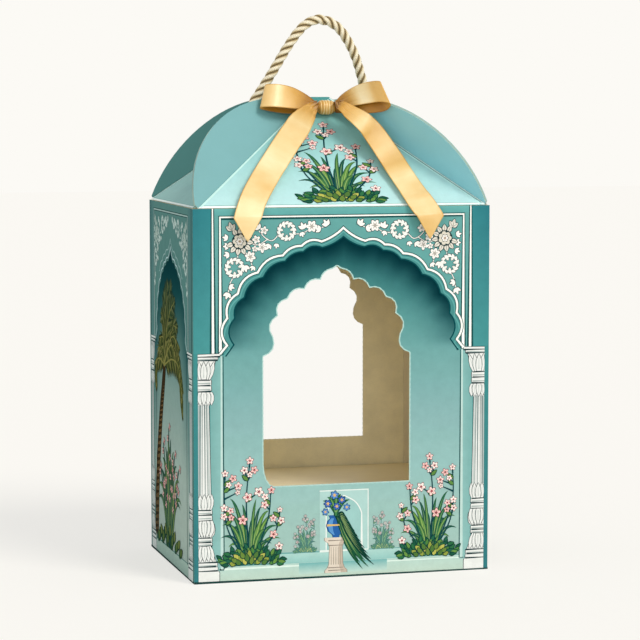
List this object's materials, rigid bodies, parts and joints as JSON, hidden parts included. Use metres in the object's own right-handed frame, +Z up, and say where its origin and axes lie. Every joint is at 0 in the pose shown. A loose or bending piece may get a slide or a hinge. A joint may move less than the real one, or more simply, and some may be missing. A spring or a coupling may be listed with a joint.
{
  "type": "hamper box",
  "caption": "Tall printed paperboard hamper box with cusped-arch windows, a folded winged hip roof, a rope handle and a satin ribbon bow.",
  "frame": {"origin": "centre of the case's footprint, at the underside of the lock bottom", "axes": "+Z up, -Y out of the front window wall that carries the bow, +X to the right as seen from the front"},
  "size_m": [0.2, 0.147, 0.3689],
  "materials": {
    "printed_teal_board": "satin laminated print",
    "printed_aqua_board": "satin laminated print",
    "printed_side_board": "satin laminated print",
    "printed_wing_board": "satin laminated print",
    "golden_inside_board": "matt metallic print",
    "twisted_gold_cord": "silky twisted strands",
    "gold_satin_ribbon": "satin",
    "pale_tie_paper": "matt"
  },
  "bodies": {
    "box": {"front_wall": "printed_teal_board", "back_wall": "printed_teal_board", "left_wall": "printed_side_board", "right_wall": "printed_side_board", "seam_flap": "golden_inside_board", "base_front_flap": "golden_inside_board", "base_back_flap": "golden_inside_board", "base_left_flap": "golden_inside_board", "base_right_flap": "golden_inside_board", "handle_rope_left": "twisted_gold_cord", "handle_rope_right": "twisted_gold_cord"},
    "platform": {"platform_deck": "golden_inside_board", "platform_front_skirt": "golden_inside_board", "platform_back_skirt": "golden_inside_board", "platform_left_skirt": "golden_inside_board", "platform_right_skirt": "golden_inside_board"},
    "front_flap": {"front_roof_panel": "printed_aqua_board", "front_left_wing": "printed_wing_board", "front_right_wing": "printed_wing_board", "bow_knot": "gold_satin_ribbon", "bow_left_loop": "gold_satin_ribbon", "bow_right_loop": "gold_satin_ribbon", "bow_left_tail": "gold_satin_ribbon", "bow_right_tail": "gold_satin_ribbon", "bow_tie_strip": "pale_tie_paper"},
    "back_flap": {"back_roof_panel": "printed_aqua_board", "back_left_wing": "printed_wing_board", "back_right_wing": "printed_wing_board"},
    "left_flap": {"left_roof_panel": "printed_side_board", "left_left_wing": "printed_wing_board", "left_right_wing": "printed_wing_board", "handle_knot_left": "twisted_gold_cord"},
    "right_flap": {"right_roof_panel": "printed_side_board", "right_left_wing": "printed_wing_board", "right_right_wing": "printed_wing_board", "handle_knot_right": "twisted_gold_cord"}
  },
  "joints": [
    {"name": "front_flap_hinge", "type": "hinge", "parent": "box", "child": "front_flap", "pos_m": [0, -0.07, 0.243], "axis": [1, 0, 0], "range_deg": [0, 130], "deforming": ["bow_left_tail", "bow_right_tail"]},
    {"name": "back_flap_hinge", "type": "hinge", "parent": "box", "child": "back_flap", "pos_m": [0, 0.07, 0.243], "axis": [-1, 0, 0], "range_deg": [0, 130]},
    {"name": "left_flap_hinge", "type": "hinge", "parent": "box", "child": "left_flap", "pos_m": [-0.1, 0, 0.243], "axis": [0, -1, 0], "range_deg": [0, 39], "deforming": ["handle_rope_left"]},
    {"name": "right_flap_hinge", "type": "hinge", "parent": "box", "child": "right_flap", "pos_m": [0.1, 0, 0.243], "axis": [0, 1, 0], "range_deg": [0, 39], "deforming": ["handle_rope_right"]},
    {"name": "platform_slide", "type": "slide", "parent": "box", "child": "platform", "axis": [0, 0, 1], "range_m": [0, 0.185]}
  ],
  "couplings": [
    {"joint": "left_flap_hinge", "follows": "front_flap_hinge", "ratio": 0.3},
    {"joint": "right_flap_hinge", "follows": "back_flap_hinge", "ratio": 0.3}
  ]
}
